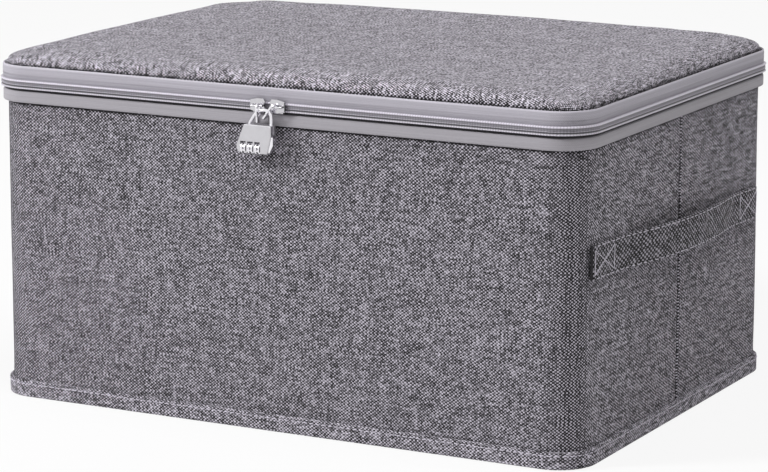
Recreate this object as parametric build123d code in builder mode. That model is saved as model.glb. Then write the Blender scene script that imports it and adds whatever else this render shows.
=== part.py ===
from build123d import *
from math import atan2, cos, degrees, pi, radians, sin
import os

os.makedirs("parts", exist_ok=True)

# A zip-lidded cloth storage box with a three-dial padlock through its two zip pulls.
# Millimetres. The origin is on the floor under the middle of the box: +X to the right along the
# front, -Y towards the front, +Z up. "Proud" sizes are measured outwards from the wall's cloth.

# Walls
box_width = 360.0
box_depth = 264.0
corner_radius = 20.0
cover_cloth = 1.0
wall_board = 2.0
lining_cloth = 0.6
board_below_rim = 3.0
fold_gap = 4.0

# Hem round the foot
hem_height = 9.5
hem_proud = 1.9
hem_top_bevel = 1.0
hem_foot_bevel = 0.4

# Loose board in the bottom
base_board_thick = 3.0
base_board_gap = 1.0
base_board_rest_gap = 0.1

# Zip: the middle of its chain, and what lies above and below it
zip_height = 179.4
rim_below_zip = 3.9
zip_gap = 1.2
zip_end = 130.0
tape_cloth = 1.0
tape_proud = 2.0
lower_tape_below_zip = 10.2
upper_tape_above_zip = 10.3
coil_height = 1.9
coil_thick = 1.5
coil_bevel = 0.5
leaf_gap = 0.4

# Lid
lid_bottom_above_zip = 3.0
lid_top_above_zip = 17.6
lid_cloth = 1.0
lid_lining = 0.8
lid_board_thick = 2.2
lid_proud = 1.0
lid_roll = 6.4
foam_bevel_share = 0.58

# Handle on the right side: a strap sewn flat at both ends and bowed out between them
handle_long = 228.0
handle_patch = 28.0
handle_centre_y = -3.0
handle_centre_z = 105.2
handle_tilt = 1.8
strap_high = 18.8
strap_thick = 2.4
strap_edge = 0.7
strap_bow = 9.3
strap_turn_radius = 150.0

# Zip sliders and their pulls
slider_long = 9.2
slider_high = 7.6
slider_plate = 1.0
slider_back_long = 7.6
slider_back_high = 5.4
slider_back_plate = 0.8
slider_clearance = 0.25
slider_edge = 0.5
slider_lip = 0.6
slider_lip_long = 6.4
divider_long = 3.2
divider_thick = 0.6
divider_offset = 1.6
left_slider_x = -6.6
right_slider_x = 5.4
bridge_wire = 1.2
bridge_span = 6.6
bridge_rise = 2.3
bridge_corner_cut = 0.7
pull_thick = 1.0
pull_long = 10.4
pull_wide = 3.2
pull_eye_long = 6.3
pull_eye_wide = 3.0
pull_eye_wall = 0.75
pull_eye_above = 0.75
pull_edge = 0.7
left_pull_from_slider = 1.7
right_pull_from_slider = -1.6
right_pull_lean = 38.0
right_pull_rise = 0.5

# Padlock
lock_left = -16.8
lock_below_zip = 25.4
lock_wide = 21.2
lock_high = 15.6
lock_thick = 6.0
lock_corner = 1.1
lock_edge = 0.4
lock_outline_shares = [
    (0.075, 0.0), (0.89, 0.0), (1.0, 0.62), (1.0, 1.0), (0.217, 1.0), (0.0, 0.29), (0.0, 0.13)]
shackle_wire = 1.9
shackle_rise = 8.85
long_leg_x = 6.9
short_leg_x = 20.0
long_leg_depth = 7.7
short_leg_depth = 5.2
shackle_shoulder_rise = 0.7
shackle_apex_inset = 4.8
shackle_bends = [2.4, 7.5, 4.0]
shackle_fit = 0.05
collar_radius = 1.35
collar_high = 0.8
collar_gap = 0.1
neck_high = 1.4
notch_depth = 0.5
notch_high = 1.2
notch_above_end = 1.0
dial_count = 3
dial_radius = 3.6
dial_thick = 3.0
dial_pitch = 4.35
dial_first_x = 4.2
dial_axis_up = 2.6
dial_side_gap = 0.15
dial_rim_gap = 0.25
dial_notches = 10
dial_notch_radius = 0.4
spindle_radius = 0.9
spindle_fit = 0.05
spindle_end_x = 1.6
spindle_far_bore = 0.4
button_inner_x = 19.0
button_proud = 0.7
button_top = 9.6
button_bottom = 0.7
button_foot_inset = 1.5
button_slant_high = 4.2
button_thick = 4.6
button_edge = 0.7
button_bevel = 0.5
button_gap = 0.12
button_travel = 1.1
spring_wire = 0.3
spring_radius = 1.35
spring_turns = 4
spring_chamber_radius = 1.75
spring_chamber_x = 15.0

# One overrun for every cut
overrun = 2.0

wall_thick = cover_cloth + wall_board + lining_cloth
front_y = -box_depth / 2
wall_top = zip_height - rim_below_zip
lower_tape_bottom = zip_height - lower_tape_below_zip
upper_tape_top = zip_height + upper_tape_above_zip
lid_bottom = zip_height + lid_bottom_above_zip
lid_top = zip_height + lid_top_above_zip
lock_bottom = zip_height - lock_below_zip


def loop(outer, inner):
    """A closed loop round the box, between two distances proud of the wall."""
    RectangleRounded(box_width + 2 * outer, box_depth + 2 * outer, corner_radius + outer)
    RectangleRounded(
        box_width + 2 * inner, box_depth + 2 * inner, corner_radius + inner, mode=Mode.SUBTRACT)


def panel(proud):
    """A flat sheet that ends this far proud of the wall all round."""
    RectangleRounded(box_width + 2 * proud, box_depth + 2 * proud, corner_radius + proud)


def back_stretch(half_width, mode):
    """The middle of the back, where the lid is hinged and no zip runs."""
    with Locations((0, box_depth / 2)):
        Rectangle(2 * half_width, box_depth / 2, mode=mode)


def front_view(y):
    """A plane that faces the front: its axes are the box's X and Z."""
    return Plane(origin=(0, y, 0), x_dir=(1, 0, 0), z_dir=(0, -1, 0))


def plan_view(z):
    return Plane.XY.offset(z)


# Base cloth and the hem round it
with BuildPart() as base_cover:
    with BuildSketch(plan_view(0)):
        panel(0)
    extrude(amount=cover_cloth)
base_cover.part.label = "base_cover"
export_step(base_cover.part, "parts/base_cover.step")

with BuildPart() as bottom_hem:
    with BuildSketch(plan_view(0)):
        loop(hem_proud, 0)
    extrude(amount=hem_height)
    hem_faces = bottom_hem.faces().sort_by(Axis.Z)
    chamfer(hem_faces[-1].outer_wire().edges(), length=hem_top_bevel)
    chamfer(bottom_hem.faces().sort_by(Axis.Z)[0].outer_wire().edges(), length=hem_foot_bevel)
bottom_hem.part.label = "bottom_hem"
export_step(bottom_hem.part, "parts/bottom_hem.step")

# Outer cloth of the walls, in two halves that are turned in where they meet at the side seams
for name, side in (("front_cover", -1), ("rear_cover", 1)):
    with BuildPart() as cover:
        with BuildSketch(plan_view(cover_cloth)):
            loop(0, -cover_cloth)
            with Locations((0, -side * box_depth / 2)):
                Rectangle(2 * box_width, box_depth, mode=Mode.SUBTRACT)
            turn_x = box_width / 2 - cover_cloth - wall_board / 2
            with Locations((turn_x, side * cover_cloth / 2), (-turn_x, side * cover_cloth / 2)):
                Rectangle(wall_board, cover_cloth)
        extrude(amount=wall_top - cover_cloth)
    cover.part.label = name
    export_step(cover.part, f"parts/{name}.step")

# Stiffening boards behind the cloth, between the round corners
board_high = wall_top - board_below_rim - cover_cloth
board_middle = cover_cloth + wall_board / 2
for name, side in (("front_board", -1), ("rear_board", 1)):
    with BuildPart() as long_board:
        with BuildSketch(plan_view(cover_cloth)):
            with Locations((0, side * (box_depth / 2 - board_middle))):
                Rectangle(box_width - 2 * corner_radius, wall_board)
        extrude(amount=board_high)
    long_board.part.label = name
    export_step(long_board.part, f"parts/{name}.step")

half_board = box_depth / 2 - corner_radius - fold_gap / 2
for side_name, side in (("right", 1), ("left", -1)):
    for end_name, end in (("front", -1), ("rear", 1)):
        with BuildPart() as side_board:
            with BuildSketch(plan_view(cover_cloth)):
                with Locations((side * (box_width / 2 - board_middle), end * (fold_gap + half_board) / 2)):
                    Rectangle(wall_board, half_board)
            extrude(amount=board_high)
        side_board.part.label = f"{side_name}_{end_name}_board"
        export_step(side_board.part, f"parts/{side_name}_{end_name}_board.step")

# Lining: a bag that covers the boards inside and the base cloth
with BuildPart() as lining:
    with BuildSketch(plan_view(cover_cloth)):
        loop(lining_cloth - wall_thick, -wall_thick)
    extrude(amount=wall_top - cover_cloth)
    with BuildSketch(plan_view(cover_cloth)):
        panel(lining_cloth - wall_thick)
    extrude(amount=lining_cloth)
lining.part.label = "lining"
export_step(lining.part, "parts/lining.step")

# Loose board that lies in the bottom and lifts out
with BuildPart() as base_board:
    with BuildSketch(plan_view(cover_cloth + lining_cloth + base_board_rest_gap)):
        panel(-wall_thick - base_board_gap)
    extrude(amount=base_board_thick)
base_board.part.label = "base_board"
export_step(base_board.part, "parts/base_board.step")

# Zip tapes, and the hinge tape that takes their place across the back.
# The lower ones lie on the wall's cloth and stand up past its rim; the upper ones edge the lid.
lower_edge = zip_height - zip_gap / 2
upper_edge = zip_height + zip_gap / 2
for name, half_width, mode in (
        ("lower_tape", zip_end, Mode.SUBTRACT),
        ("hinge_leaf_lower", zip_end - leaf_gap, Mode.INTERSECT)):
    with BuildPart() as lower_band:
        with BuildSketch(plan_view(lower_tape_bottom)):
            loop(tape_proud, 0)
            back_stretch(half_width, mode)
        extrude(amount=wall_top - lower_tape_bottom)
        with BuildSketch(plan_view(wall_top)):
            loop(tape_proud, tape_proud - tape_cloth)
            back_stretch(half_width, mode)
        extrude(amount=lower_edge - wall_top)
    lower_band.part.label = name
    export_step(lower_band.part, f"parts/{name}.step")

for name, half_width, mode in (
        ("upper_tape", zip_end, Mode.SUBTRACT),
        ("hinge_leaf_upper", zip_end - leaf_gap, Mode.INTERSECT)):
    with BuildPart() as upper_band:
        with BuildSketch(plan_view(upper_edge)):
            loop(tape_proud, tape_proud - tape_cloth)
            back_stretch(half_width, mode)
        extrude(amount=upper_tape_top - upper_edge)
    upper_band.part.label = name
    export_step(upper_band.part, f"parts/{name}.step")

# The coils, as beads with bevelled outer edges
for name, bottom in (("lower_coil", lower_edge - coil_height), ("upper_coil", upper_edge)):
    with BuildPart() as coil:
        with BuildSketch(plan_view(bottom)):
            loop(tape_proud + coil_thick, tape_proud)
            back_stretch(zip_end, Mode.SUBTRACT)
        extrude(amount=coil_height)
        rims = coil.faces().filter_by(Plane.XY)
        outer_edges = [
            edge for face in rims for edge in face.edges()
            if edge.length > 2 * coil_thick and face.outer_wire().length > 2 * box_depth]
        outermost = ShapeList(outer_edges).filter_by(
            lambda edge: abs(edge.center().X) > box_width / 2 + tape_proud
            or abs(edge.center().Y) > box_depth / 2 + tape_proud)
        chamfer(outermost, length=coil_bevel)
    coil.part.label = name
    export_step(coil.part, f"parts/{name}.step")


# Lid: padded cloth over foam over a board, lined underneath.
# The foam is cut with a bevel that comes close under the cloth's rolled edge.
with BuildPart() as padding:
    with BuildSketch(plan_view(lid_bottom - overrun)):
        panel(lid_proud - lid_cloth)
    extrude(amount=lid_top - lid_cloth - lid_bottom + overrun)
    chamfer(padding.faces().sort_by(Axis.Z)[-1].edges(), length=foam_bevel_share * (lid_roll - lid_cloth))

with BuildPart() as lid_cover:
    with BuildSketch(plan_view(lid_bottom)):
        panel(lid_proud)
    extrude(amount=lid_top - lid_bottom)
    fillet(lid_cover.faces().sort_by(Axis.Z)[-1].edges(), radius=lid_roll)
    add(padding.part, mode=Mode.SUBTRACT)
lid_cover.part.label = "lid_cover"
export_step(lid_cover.part, "parts/lid_cover.step")

with BuildPart() as lid_foam:
    add(padding.part)
    split(bisect_by=plan_view(lid_bottom + lid_lining + lid_board_thick), keep=Keep.TOP)
lid_foam.part.label = "lid_foam"
export_step(lid_foam.part, "parts/lid_foam.step")

with BuildPart() as lid_board:
    with BuildSketch(plan_view(lid_bottom + lid_lining)):
        panel(lid_proud - lid_cloth)
    extrude(amount=lid_board_thick)
lid_board.part.label = "lid_board"
export_step(lid_board.part, "parts/lid_board.step")

with BuildPart() as lid_lining_sheet:
    with BuildSketch(plan_view(lid_bottom)):
        panel(lid_proud - lid_cloth)
    extrude(amount=lid_lining)
lid_lining_sheet.part.label = "lid_lining"
export_step(lid_lining_sheet.part, "parts/lid_lining.step")

# Handle: flat ends, then three tangent arcs that carry the strap out and back
free_half = handle_long / 2 - handle_patch
centre_bow = strap_bow - strap_thick
bow_turn = 2 * atan2(centre_bow, free_half)
bow_radius = free_half / sin(bow_turn) - strap_turn_radius
tilt = radians(handle_tilt)
strap_plane = Plane(
    origin=((box_width + strap_thick) / 2, handle_centre_y, handle_centre_z),
    x_dir=(0, cos(tilt), -sin(tilt)), z_dir=(0, -sin(tilt), -cos(tilt)))
with BuildPart() as right_handle:
    with BuildLine(strap_plane) as strap_path:
        flat = Line((-handle_long / 2, 0), (-free_half, 0))
        out = JernArc(flat @ 1, (1, 0), strap_turn_radius, degrees(bow_turn))
        over = JernArc(out @ 1, (cos(bow_turn), sin(bow_turn)), bow_radius, -2 * degrees(bow_turn))
        back = JernArc(over @ 1, (cos(bow_turn), -sin(bow_turn)), strap_turn_radius, degrees(bow_turn))
        Line(back @ 1, (handle_long / 2, 0))
    strap_wire = strap_path.wires()[0]
    with BuildSketch(Plane(origin=strap_wire @ 0, x_dir=(1, 0, 0), z_dir=strap_wire % 0)) as strap_section:
        Rectangle(strap_thick, strap_high)
        chamfer(strap_section.vertices(), length=strap_edge)
    sweep(path=strap_wire)
right_handle.part.label = "right_handle"
export_step(right_handle.part, "parts/right_handle.step")

# Zip sliders. The nose, where the two coils enter, points at the other slider.
slider_face = tape_proud + coil_thick + slider_clearance
slider_front = slider_face + slider_plate
bridge_proud = slider_front + bridge_rise
bridge_y = front_y - bridge_proud
slider_outline_shares = [
    (-0.5, -0.37), (0.0, -0.5), (0.38, -0.5), (0.5, -0.3), (0.42, 0.0),
    (0.5, 0.3), (0.38, 0.5), (0.0, 0.5), (-0.5, 0.37)]
for name, centre_x, nose in (
        ("left_slider", left_slider_x, 1), ("right_slider", right_slider_x, -1)):
    with BuildPart() as slider:
        with BuildSketch(front_view(front_y - slider_face)) as outline:
            with BuildLine():
                Polyline(
                    [(centre_x + nose * u * slider_long, zip_height + v * slider_high)
                     for u, v in slider_outline_shares], close=True)
            make_face()
            fillet(outline.vertices(), radius=slider_edge)
        extrude(amount=slider_plate)
        chamfer(slider.faces().sort_by(Axis.Y)[0].edges(), length=slider_edge / 2)
        with BuildSketch(front_view(front_y - tape_proud + tape_cloth + slider_clearance)):
            with Locations((centre_x, zip_height)):
                RectangleRounded(slider_back_long, slider_back_high, slider_edge)
        extrude(amount=-slider_back_plate)
        with BuildSketch(front_view(front_y - slider_face)):
            with Locations((centre_x + nose * divider_offset, zip_height)):
                Rectangle(divider_long, divider_thick)
        extrude(amount=tape_proud - tape_cloth - slider_clearance - slider_face)
        with BuildSketch(front_view(front_y - slider_face)):
            with Locations((centre_x, zip_height - (slider_high - slider_lip) / 2)):
                Rectangle(slider_lip_long, slider_lip)
        extrude(amount=slider_clearance - coil_thick)
        # Bridge: a round bar with cut corners, so that its mitres stay open to the pull's eye
        with BuildLine(plan_view(zip_height)) as bridge_path:
            half_span = bridge_span / 2
            foot_y = front_y - slider_front + slider_plate / 2
            Polyline(
                (centre_x - half_span, foot_y),
                (centre_x - half_span, bridge_y + bridge_corner_cut),
                (centre_x - half_span + bridge_corner_cut, bridge_y),
                (centre_x + half_span - bridge_corner_cut, bridge_y),
                (centre_x + half_span, bridge_y + bridge_corner_cut),
                (centre_x + half_span, foot_y))
        bar_path = bridge_path.wires()[0]
        with BuildSketch(Plane(origin=bar_path @ 0, x_dir=(1, 0, 0), z_dir=bar_path % 0)):
            Circle(bridge_wire / 2)
        sweep(path=bar_path, transition=Transition.RIGHT)
    slider.part.label = name
    export_step(slider.part, f"parts/{name}.step")

# Pulls: flat tabs that hang edge-on, with one long eye for the bridge and the shackle.
# The right one leans to the middle, where the shackle holds it.
eye_middle = pull_eye_above - pull_eye_long / 2
pull_top = pull_eye_above + pull_eye_wall
for name, pull_x, lean, rise in (
        ("left_pull", left_slider_x + left_pull_from_slider, 0, 0),
        ("right_pull", right_slider_x + right_pull_from_slider, radians(right_pull_lean), right_pull_rise)):
    hang = Plane(
        origin=(pull_x + rise * sin(lean), bridge_y, zip_height + rise * cos(lean)),
        x_dir=(0, 1, 0), z_dir=(cos(lean), 0, -sin(lean)))
    with BuildPart() as pull:
        with BuildSketch(hang):
            with Locations((0, eye_middle)):
                SlotOverall(
                    pull_eye_long + 2 * pull_eye_wall, pull_eye_wide + 2 * pull_eye_wall, rotation=90)
            with Locations((0, pull_top - pull_long + (pull_long + eye_middle - pull_top) / 2)):
                RectangleRounded(pull_wide, pull_long + eye_middle - pull_top, pull_edge)
            with Locations((0, eye_middle)):
                SlotOverall(pull_eye_long, pull_eye_wide, rotation=90, mode=Mode.SUBTRACT)
        extrude(amount=pull_thick / 2, both=True)
    pull.part.label = name
    export_step(pull.part, f"parts/{name}.step")

# Padlock. Places along it are measured from its left edge, heights from its bottom edge.
lock_top = lock_bottom + lock_high
lock_right = lock_left + lock_wide
dial_axis_z = lock_bottom + dial_axis_up
long_x = lock_left + long_leg_x
short_x = lock_left + short_leg_x
apex_z = lock_top + shackle_rise - shackle_wire / 2
long_leg_end = lock_top - long_leg_depth
short_leg_end = lock_top - short_leg_depth
button_x = lock_left + button_inner_x
slot_wide = dial_thick + 2 * dial_side_gap
slot_top = dial_axis_z + dial_radius + dial_rim_gap

# Shackle: a bent wire, with a collar that keeps the long leg in and a notch for the latch
with BuildPart() as lock_shackle:
    with BuildLine(front_view(bridge_y)) as shackle_path:
        FilletPolyline(
            (long_x, long_leg_end),
            (long_x, lock_top + shackle_shoulder_rise),
            (long_x + shackle_apex_inset, apex_z),
            (short_x, apex_z),
            (short_x, short_leg_end),
            radius=shackle_bends)
    shackle_wire_path = shackle_path.wires()[0]
    with BuildSketch(Plane(origin=shackle_wire_path @ 0, z_dir=shackle_wire_path % 0)):
        Circle(shackle_wire / 2)
    sweep(path=shackle_wire_path)
    with Locations((long_x, bridge_y, long_leg_end)):
        Cylinder(collar_radius, collar_high, align=(Align.CENTER, Align.CENTER, Align.MIN))
    with Locations((short_x - shackle_wire / 2, bridge_y, short_leg_end + notch_above_end)):
        Box(2 * notch_depth, 2 * shackle_wire, notch_high,
            align=(Align.CENTER, Align.CENTER, Align.MIN), mode=Mode.SUBTRACT)
lock_shackle.part.label = "lock_shackle"
export_step(lock_shackle.part, "parts/lock_shackle.step")

button_outline = [
    (button_x, lock_bottom + button_bottom),
    (lock_right - button_foot_inset, lock_bottom + button_bottom),
    (lock_right + button_proud, lock_bottom + button_bottom + button_slant_high),
    (lock_right + button_proud, lock_bottom + button_top),
    (button_x, lock_bottom + button_top)]

with BuildPart() as lock_body:
    with BuildSketch(front_view(bridge_y)) as lock_outline:
        with BuildLine():
            Polyline(
                [(lock_left + u * lock_wide, lock_bottom + v * lock_high)
                 for u, v in lock_outline_shares], close=True)
        make_face()
        fillet(lock_outline.vertices(), radius=lock_corner)
    extrude(amount=lock_thick / 2, both=True)
    flat_faces = lock_body.faces().sort_by(Axis.Y)
    chamfer(flat_faces[0].edges() + flat_faces[-1].edges(), length=lock_edge)
    # Slots for the dials, right through and open at the bottom
    with BuildSketch(front_view(bridge_y)):
        for index in range(dial_count):
            with Locations((lock_left + dial_first_x + index * dial_pitch, slot_top)):
                Rectangle(slot_wide, slot_top - lock_bottom + overrun, align=(Align.CENTER, Align.MAX))
    extrude(amount=lock_thick, both=True, mode=Mode.SUBTRACT)
    # Bore for the spindle, then the wider chamber of its spring
    with BuildSketch(Plane.YZ.offset(lock_left + spindle_far_bore)):
        with Locations((bridge_y, dial_axis_z)):
            Circle(spindle_radius + spindle_fit)
    extrude(amount=button_x - lock_left, mode=Mode.SUBTRACT)
    with BuildSketch(Plane.YZ.offset(lock_left + spring_chamber_x)):
        with Locations((bridge_y, dial_axis_z)):
            Circle(spring_chamber_radius)
    extrude(amount=button_x - lock_left - spring_chamber_x, mode=Mode.SUBTRACT)
    # Pocket for the button
    with BuildSketch(front_view(bridge_y)) as pocket:
        with BuildLine():
            Polyline(button_outline, close=True)
        make_face()
        offset(amount=button_gap, kind=Kind.INTERSECTION)
        with Locations((button_x - button_travel / 2 - button_gap, lock_bottom + (button_top + button_bottom) / 2)):
            Rectangle(button_travel, button_top - button_bottom + 2 * button_gap)
    extrude(amount=button_thick / 2 + button_gap, both=True, mode=Mode.SUBTRACT)
    # Neck and chamber of the long leg, and the open groove of the short one
    with BuildSketch(plan_view(lock_top)):
        with Locations((long_x, bridge_y)):
            Circle(shackle_wire / 2 + shackle_fit)
    extrude(amount=-neck_high, mode=Mode.SUBTRACT)
    with BuildSketch(plan_view(lock_top - neck_high)):
        with Locations((long_x, bridge_y)):
            Circle(collar_radius + collar_gap)
    extrude(amount=slot_top - lock_top + neck_high - dial_rim_gap, mode=Mode.SUBTRACT)
    with BuildSketch(plan_view(short_leg_end - collar_gap)):
        with Locations((short_x, bridge_y)):
            Circle(shackle_wire / 2 + shackle_fit)
        with Locations((short_x, bridge_y)):
            Rectangle(lock_wide, shackle_wire + 2 * shackle_fit, align=(Align.MIN, Align.CENTER))
    extrude(amount=lock_high, mode=Mode.SUBTRACT)
lock_body.part.label = "lock_body"
export_step(lock_body.part, "parts/lock_body.step")

# Dials with ten finger notches round the rim
for index in range(dial_count):
    dial_x = lock_left + dial_first_x + index * dial_pitch
    with BuildPart() as dial:
        with BuildSketch(Plane.YZ.offset(dial_x - dial_thick / 2)):
            with Locations((bridge_y, dial_axis_z)):
                Circle(dial_radius)
                Circle(spindle_radius + spindle_fit, mode=Mode.SUBTRACT)
                with PolarLocations(dial_radius, dial_notches):
                    RegularPolygon(dial_notch_radius, side_count=4, mode=Mode.SUBTRACT)
        extrude(amount=dial_thick)
    dial.part.label = f"lock_dial_{index + 1}"
    export_step(dial.part, f"parts/lock_dial_{index + 1}.step")

# Release button, and the spindle fixed in it that the dials turn on
with BuildPart() as lock_button:
    with BuildSketch(front_view(bridge_y)) as button_face:
        with BuildLine():
            Polyline(button_outline, close=True)
        make_face()
        fillet(button_face.vertices().sort_by(Axis.X)[-3:], radius=button_edge)
    extrude(amount=button_thick / 2, both=True)
    button_sides = lock_button.faces().sort_by(Axis.Y)
    outer_side = button_sides[0].edges() + button_sides[-1].edges()
    chamfer(outer_side.filter_by(lambda edge: edge.center().X > lock_right - button_foot_inset),
            length=button_bevel)
lock_button.part.label = "lock_button"
export_step(lock_button.part, "parts/lock_button.step")

with BuildPart() as lock_spindle:
    with BuildSketch(Plane.YZ.offset(lock_left + spindle_end_x)):
        with Locations((bridge_y, dial_axis_z)):
            Circle(spindle_radius)
    extrude(amount=button_inner_x - spindle_end_x)
lock_spindle.part.label = "lock_spindle"
export_step(lock_spindle.part, "parts/lock_spindle.step")

# Return spring round the spindle, between the body and the button
spring_start = lock_left + spring_chamber_x + spring_wire / 2
spring_long = button_x - spring_start - spring_wire / 2
with BuildPart() as lock_spring:
    with BuildLine() as spring_path:
        Helix(
            pitch=spring_long / spring_turns, height=spring_long, radius=spring_radius,
            center=(spring_start, bridge_y, dial_axis_z), direction=(1, 0, 0))
    spring_line = spring_path.wires()[0]
    with BuildSketch(Plane(origin=spring_line @ 0, z_dir=spring_line % 0)):
        Rectangle(spring_wire, spring_wire)
    sweep(path=spring_line, is_frenet=True)
lock_spring.part.label = "lock_spring"
export_step(lock_spring.part, "parts/lock_spring.step")

spring_least_gap = spring_long / spring_turns - spring_wire
print(f"spring: {spring_turns} turns, least gap between turns {spring_least_gap:.2f} mm")
print(f"handle bow radius {bow_radius:.1f} mm, turn {bow_turn * 180 / pi:.2f} degrees")
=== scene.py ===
import bpy
import bmesh
import math
from mathutils import Matrix, Vector, noise


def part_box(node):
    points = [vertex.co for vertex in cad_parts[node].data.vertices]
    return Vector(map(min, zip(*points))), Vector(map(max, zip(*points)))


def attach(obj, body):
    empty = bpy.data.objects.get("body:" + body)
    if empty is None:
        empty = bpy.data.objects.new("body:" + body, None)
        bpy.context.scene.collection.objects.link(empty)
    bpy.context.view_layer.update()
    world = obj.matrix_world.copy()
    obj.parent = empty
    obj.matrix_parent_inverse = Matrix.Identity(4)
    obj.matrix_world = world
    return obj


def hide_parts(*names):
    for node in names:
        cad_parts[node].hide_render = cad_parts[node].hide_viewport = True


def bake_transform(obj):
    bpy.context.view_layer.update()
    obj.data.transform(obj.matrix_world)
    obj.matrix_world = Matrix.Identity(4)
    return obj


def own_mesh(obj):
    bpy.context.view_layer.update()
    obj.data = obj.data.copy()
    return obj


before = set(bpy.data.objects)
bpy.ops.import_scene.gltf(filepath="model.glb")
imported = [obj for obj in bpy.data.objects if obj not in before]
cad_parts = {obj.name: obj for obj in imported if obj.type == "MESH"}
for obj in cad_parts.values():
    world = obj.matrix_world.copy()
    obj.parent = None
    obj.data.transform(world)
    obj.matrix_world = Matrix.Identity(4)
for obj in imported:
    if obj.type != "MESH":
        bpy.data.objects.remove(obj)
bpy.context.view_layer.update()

scene = bpy.context.scene
MM = 0.001
TINY = 1e-12

# The wall's outline, as in the part's source, in metres: width, depth and corner radius, then the straight
# runs and the arc of one corner, and the whole way round
WIDE, DEEP, ROUND = 0.360, 0.264, 0.020
RUN_X, RUN_Y, CORNER = WIDE - 2 * ROUND, DEEP - 2 * ROUND, math.pi * ROUND / 2
AROUND = 2 * RUN_X + 2 * RUN_Y + 4 * CORNER
HALF_WAY = AROUND / 2

# The cloth hinge takes this much of the zip's line each side of the middle of the back
HINGE_HALF = 0.130
ZIP_START = RUN_Y / 2 + CORNER + RUN_X / 2 + HINGE_HALF
ZIP_STOP = AROUND + RUN_Y / 2 + CORNER + RUN_X / 2 - HINGE_HALF

# How much of the weave shows for each length of wall on the two sides
SIDE_DRAW = 0.72


# Outline and meshes

def clamp(value):
    return max(0.0, min(1.0, value))


def bell(x, width):
    return math.exp(-(x / width) ** 2)


def rim(s):
    """A point on the wall's outline and its outward normal, s metres on from the right side seam."""
    s %= AROUND
    x, y, turn = WIDE / 2, 0.0, math.pi / 2
    for kind, length in (("run", RUN_Y / 2), ("arc", CORNER), ("run", RUN_X), ("arc", CORNER),
                         ("run", RUN_Y), ("arc", CORNER), ("run", RUN_X), ("arc", CORNER),
                         ("run", RUN_Y / 2)):
        step = min(s, length)
        if kind == "run":
            x, y = x + step * math.cos(turn), y + step * math.sin(turn)
        else:
            a, cx, cy = step / ROUND, x - ROUND * math.sin(turn), y + ROUND * math.cos(turn)
            turn += a
            x, y = cx + ROUND * math.sin(turn), cy - ROUND * math.cos(turn)
        s -= step
        if s <= TINY:
            break
    return Vector((x, y, 0)), Vector((math.sin(turn), -math.cos(turn), 0))


def stations(start, stop, step, extra=()):
    """Even steps from start to stop, with closer ones where they are asked for."""
    n = max(1, round((stop - start) / step))
    even = [start + (stop - start) * i / n for i in range(n + 1)]
    return sorted(set(round(s, 7) for s in even + [e for e in extra if start < e < stop]))


def cloth_run(s):
    """Length along the cloth's weave at s, which is drawn out on the two sides."""
    run, left = 0.0, s
    while left > TINY:
        for length, share in ((RUN_Y / 2, SIDE_DRAW), (CORNER, 1), (RUN_X, 1), (CORNER, 1),
                              (RUN_Y / 2, SIDE_DRAW)):
            step = min(left, length)
            run, left = run + step * share, left - step
    return run


def make(name, verts, faces, uvs=None):
    """A smooth-shaded mesh object, with one place on the flat cloth for each corner of each face."""
    mesh = bpy.data.meshes.new(name)
    mesh.from_pydata([tuple(v) for v in verts], [], faces)
    if uvs:
        layer = mesh.uv_layers.new(name="UVMap")
        for i, uv in enumerate(uv for face in uvs for uv in face):
            layer.data[i].uv = uv
    mesh.validate()
    mesh.polygons.foreach_set("use_smooth", [True] * len(mesh.polygons))
    obj = bpy.data.objects.new(name, mesh)
    scene.collection.objects.link(obj)
    return obj


def skin(rings, sides, start=0, flip=False):
    """Faces between closed rings of points that follow on from start."""
    faces = []
    for r in range(rings - 1):
        for k in range(sides):
            a, b = start + r * sides + k, start + r * sides + (k + 1) % sides
            faces.append((a, a + sides, b + sides, b) if flip else (a, b, b + sides, a + sides))
    return faces


def band(name, along, section, run=lambda s: s):
    """Sweeps a closed section of (proud, height) points, in mm, round the box. Listed upwards, it faces out.

    The section may be a function of the place on the outline, and run gives the length along the cloth.
    """
    verts, grid, lengths = [], [], []
    ring = abs(along[-1] - along[0] - AROUND) < 1e-6
    for s in along[:-1] if ring else along:
        base, out = rim(s)
        points = section(s) if callable(section) else section
        grid.append(range(len(verts), len(verts) + len(points)))
        verts += [base + out * p * MM + Vector((0, 0, z * MM)) for p, z in points]
        if not lengths:
            lengths = [points[0][1] * MM]
            for a, b in zip(points, points[1:] + points[:1]):
                lengths.append(lengths[-1] + math.dist(a, b) * MM)
    faces, uvs = [], []
    n, m = len(grid), len(grid[0])
    for i in range(n if ring else n - 1):
        a, b, u0, u1 = grid[i], grid[(i + 1) % n], run(along[i]), run(along[i + 1])
        for j in range(m):
            k = (j + 1) % m
            faces.append((a[j], b[j], b[k], a[k]))
            uvs.append(((u0, lengths[j]), (u1, lengths[j]), (u1, lengths[j + 1]), (u0, lengths[j + 1])))
    if not ring:
        for row, s in ((list(grid[0]), along[0]), (list(grid[-1])[::-1], along[-1])):
            faces.append(tuple(row))
            uvs.append(tuple((s, 0) for _ in row))
    return make(name, verts, faces, uvs)


PANEL_STEP = 0.004
PANEL_ROWS = (0, -0.4, -1.5, -4, -8, -13, -19)


def sheet_panel(name, proud, low, high):
    """A flat sheet inside the outline, with rows that close in to the middle. Sizes in mm."""
    along = stations(0, AROUND, PANEL_STEP)[:-1]
    n, half = len(along), len(PANEL_ROWS) * len(along)
    verts, faces = [], []
    for z, under in ((high, False), (low, True)):
        start = len(verts)
        for inset in PANEL_ROWS:
            for s in along:
                base, out = rim(s)
                p = base + out * (proud + inset) * MM
                verts.append(Vector((p.x, p.y, z * MM)))
        side = skin(len(PANEL_ROWS), n, start) + [tuple(range(start + half - n, start + half))]
        faces += [face[::-1] for face in side] if under else side
    for i in range(n):
        j = (i + 1) % n
        faces.append((half + i, half + j, j, i))
    return make(name, verts, faces, [[verts[i].xy for i in face] for face in faces])


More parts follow.
